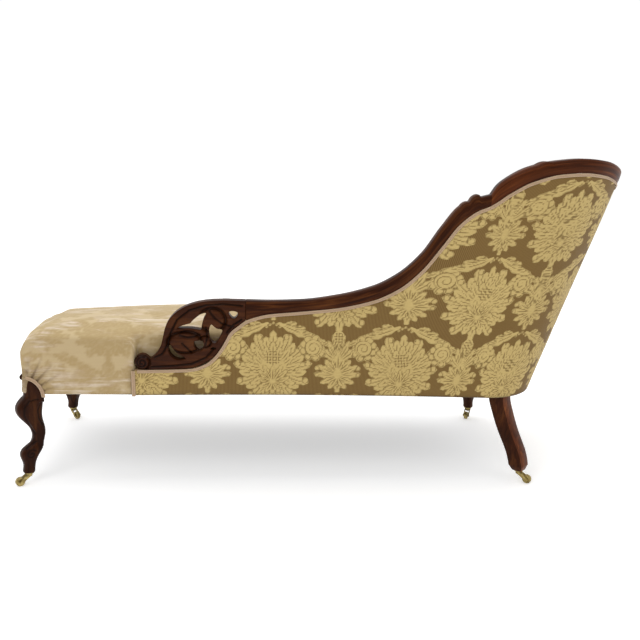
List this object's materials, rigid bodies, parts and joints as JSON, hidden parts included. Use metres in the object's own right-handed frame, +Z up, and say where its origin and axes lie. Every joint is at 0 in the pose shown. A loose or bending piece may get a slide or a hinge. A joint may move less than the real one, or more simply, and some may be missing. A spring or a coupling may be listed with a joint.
{
  "type": "chaise longue",
  "caption": "Upholstered chaise longue with a raised tub head end, swept show-wood back rail with a pierced scroll, shaped legs and swivelling brass casters.",
  "frame": {"origin": "bottom centre of the bounding box, on the floor", "axes": "+X from the foot end to the head end, -Y to the outside of the back, +Z up"},
  "size_m": [1.7232, 0.6618, 0.9499],
  "materials": {
    "show_wood": "dark red-brown polished mahogany",
    "frame_wood": "plain sawn beech, hidden",
    "back_damask": "gold on taupe woven damask",
    "seat_damask": "pale worn damask",
    "stuffing": "horsehair stuffing, hidden",
    "hessian": "coarse hessian",
    "webbing": "woven jute straps",
    "spring_steel": "coppered spring wire",
    "gimp": "pink-beige gimp braid",
    "brass": "aged cast brass"
  },
  "bodies": {
    "frame": {"arm_front": "show_wood", "back_gimp": "gimp", "back_hessian": "hessian", "back_post_foot": "frame_wood", "back_post_head": "frame_wood", "back_post_middle": "frame_wood", "back_rail": "show_wood", "back_stuffing": "stuffing", "bottom_cloth": "hessian", "caster_plate_foot_front": "brass", "caster_plate_foot_rear": "brass", "caster_plate_head_front": "brass", "caster_plate_head_rear": "brass", "caster_screws": "brass", "corner_blocks": "frame_wood", "crest_rail": "show_wood", "foot_front_leg": "show_wood", "foot_rear_leg": "show_wood", "foot_seat_rail": "frame_wood", "front_seat_rail": "frame_wood", "head_front_leg": "show_wood", "head_post_corner": "frame_wood", "head_post_front": "frame_wood", "head_post_middle": "frame_wood", "head_rear_leg": "show_wood", "head_seat_rail": "frame_wood", "inside_back_cover": "seat_damask", "inside_gimp": "gimp", "outside_back_cover": "back_damask", "pierced_scroll": "show_wood", "rear_seat_rail": "frame_wood", "seat_cover": "seat_damask", "seat_hessian": "hessian", "seat_springs": "spring_steel", "seat_stuffing": "stuffing", "seat_webbing": "webbing"},
    "caster_swivel_foot_rear": {"caster_horn_foot_rear": "brass", "caster_axle_foot_rear": "brass"},
    "caster_wheel_foot_rear": {"caster_wheel_foot_rear": "brass"},
    "caster_swivel_foot_front": {"caster_horn_foot_front": "brass", "caster_axle_foot_front": "brass"},
    "caster_wheel_foot_front": {"caster_wheel_foot_front": "brass"},
    "caster_swivel_head_rear": {"caster_horn_head_rear": "brass", "caster_axle_head_rear": "brass"},
    "caster_wheel_head_rear": {"caster_wheel_head_rear": "brass"},
    "caster_swivel_head_front": {"caster_horn_head_front": "brass", "caster_axle_head_front": "brass"},
    "caster_wheel_head_front": {"caster_wheel_head_front": "brass"}
  },
  "joints": [
    {"name": "swivel_foot_rear", "type": "hinge", "parent": "frame", "child": "caster_swivel_foot_rear", "pos_m": [-0.82642, -0.2533, 0.0287], "axis": [0, 0, 1], "continuous": true},
    {"name": "roll_foot_rear", "type": "hinge", "parent": "caster_swivel_foot_rear", "child": "caster_wheel_foot_rear", "pos_m": [-0.84854, -0.26879, 0.013], "axis": [0.5736, -0.8192, 0], "continuous": true},
    {"name": "swivel_foot_front", "type": "hinge", "parent": "frame", "child": "caster_swivel_foot_front", "pos_m": [-0.82642, 0.2951, 0.0287], "axis": [0, 0, 1], "continuous": true},
    {"name": "roll_foot_front", "type": "hinge", "parent": "caster_swivel_foot_front", "child": "caster_wheel_foot_front", "pos_m": [-0.80906, 0.27441, 0.013], "axis": [0.766, 0.6428, 0], "continuous": true},
    {"name": "swivel_head_rear", "type": "hinge", "parent": "frame", "child": "caster_swivel_head_rear", "pos_m": [0.59866, -0.2531, 0.0287], "axis": [0, 0, 1], "continuous": true},
    {"name": "roll_head_rear", "type": "hinge", "parent": "caster_swivel_head_rear", "child": "caster_wheel_head_rear", "pos_m": [0.62078, -0.26859, 0.013], "axis": [0.5736, 0.8192, 0], "continuous": true},
    {"name": "swivel_head_front", "type": "hinge", "parent": "frame", "child": "caster_swivel_head_front", "pos_m": [0.58576, 0.30069, 0.0287], "axis": [0, 0, 1], "continuous": true},
    {"name": "roll_head_front", "type": "hinge", "parent": "caster_swivel_head_front", "child": "caster_wheel_head_front", "pos_m": [0.57435, 0.27622, 0.013], "axis": [0.9063, -0.4226, 0], "continuous": true}
  ]
}
